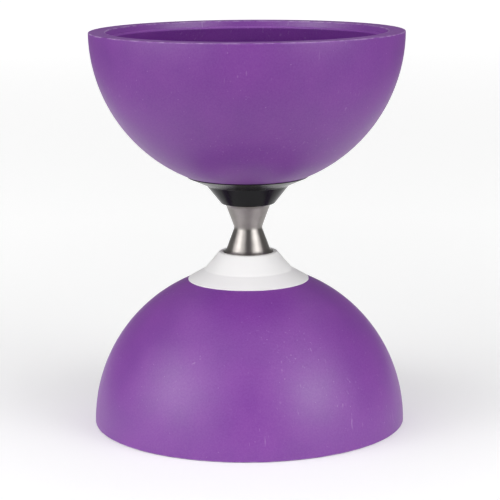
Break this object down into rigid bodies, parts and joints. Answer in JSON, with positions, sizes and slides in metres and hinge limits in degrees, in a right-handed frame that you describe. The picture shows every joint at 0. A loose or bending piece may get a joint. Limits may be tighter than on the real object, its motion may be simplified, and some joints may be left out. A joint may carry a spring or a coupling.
{
  "type": "diabolo",
  "caption": "Freewheel diabolo: two hemispherical cups on one shaft, cone hubs, and an hourglass steel spool that spins on ball bearings.",
  "frame": {"origin": "centre of the lower cup's rim plane, on the shaft's axis", "axes": "+Z along the shaft's axis, from the lower cup, with the white hub, to the upper cup, with the black hub"},
  "size_m": [0.13, 0.13, 0.1636],
  "materials": {
    "purple_plastic": "finely textured, satin",
    "black_plastic": "glossy",
    "white_plastic": "satin",
    "turned_stainless": "fine turned, satin",
    "shaft_steel": "ground",
    "polished_steel": "polished",
    "hardened_steel": "satin",
    "zinc_plate": "bright zinc plated",
    "satin_aluminium": "turned, satin",
    "blue_nylon": "satin",
    "dark_nylon": "satin"
  },
  "bodies": {
    "cup_assembly": {"shaft": "shaft_steel", "upper_cup": "purple_plastic", "upper_hub": "black_plastic", "upper_hub_bush": "shaft_steel", "upper_clamp_plate": "satin_aluminium", "upper_flat_washer": "zinc_plate", "upper_lock_nut": "zinc_plate", "upper_nut_insert": "blue_nylon", "upper_thrust_shim": "hardened_steel", "upper_bearing_inner_ring": "polished_steel", "lower_cup": "purple_plastic", "lower_hub": "white_plastic", "lower_hub_bush": "shaft_steel", "lower_clamp_plate": "satin_aluminium", "lower_flat_washer": "zinc_plate", "lower_lock_nut": "zinc_plate", "lower_nut_insert": "blue_nylon", "lower_thrust_shim": "hardened_steel", "lower_bearing_inner_ring": "polished_steel"},
    "spool": {"spool": "turned_stainless", "clutch_shell": "hardened_steel", "clutch_cage": "dark_nylon", "clutch_rollers": "polished_steel", "clutch_springs": "hardened_steel", "upper_bearing_outer_ring": "polished_steel", "upper_bearing_inner_shield": "polished_steel", "upper_bearing_outer_shield": "polished_steel", "lower_bearing_outer_ring": "polished_steel", "lower_bearing_inner_shield": "polished_steel", "lower_bearing_outer_shield": "polished_steel"},
    "upper_ball_set": {"upper_bearing_cage": "dark_nylon", "upper_bearing_balls": "polished_steel"},
    "lower_ball_set": {"lower_bearing_cage": "dark_nylon", "lower_bearing_balls": "polished_steel"}
  },
  "joints": [
    {"name": "spool_spin", "type": "hinge", "parent": "cup_assembly", "child": "spool", "pos_m": [0, 0, 0.0818], "axis": [0, 0, 1], "continuous": true},
    {"name": "upper_ball_orbit", "type": "hinge", "parent": "cup_assembly", "child": "upper_ball_set", "pos_m": [0, 0, 0.0903], "axis": [0, 0, 1], "continuous": true},
    {"name": "lower_ball_orbit", "type": "hinge", "parent": "cup_assembly", "child": "lower_ball_set", "pos_m": [0, 0, 0.0733], "axis": [0, 0, 1], "continuous": true}
  ],
  "couplings": [
    {"joint": "upper_ball_orbit", "follows": "spool_spin", "ratio": 0.6042},
    {"joint": "lower_ball_orbit", "follows": "spool_spin", "ratio": 0.6042}
  ]
}
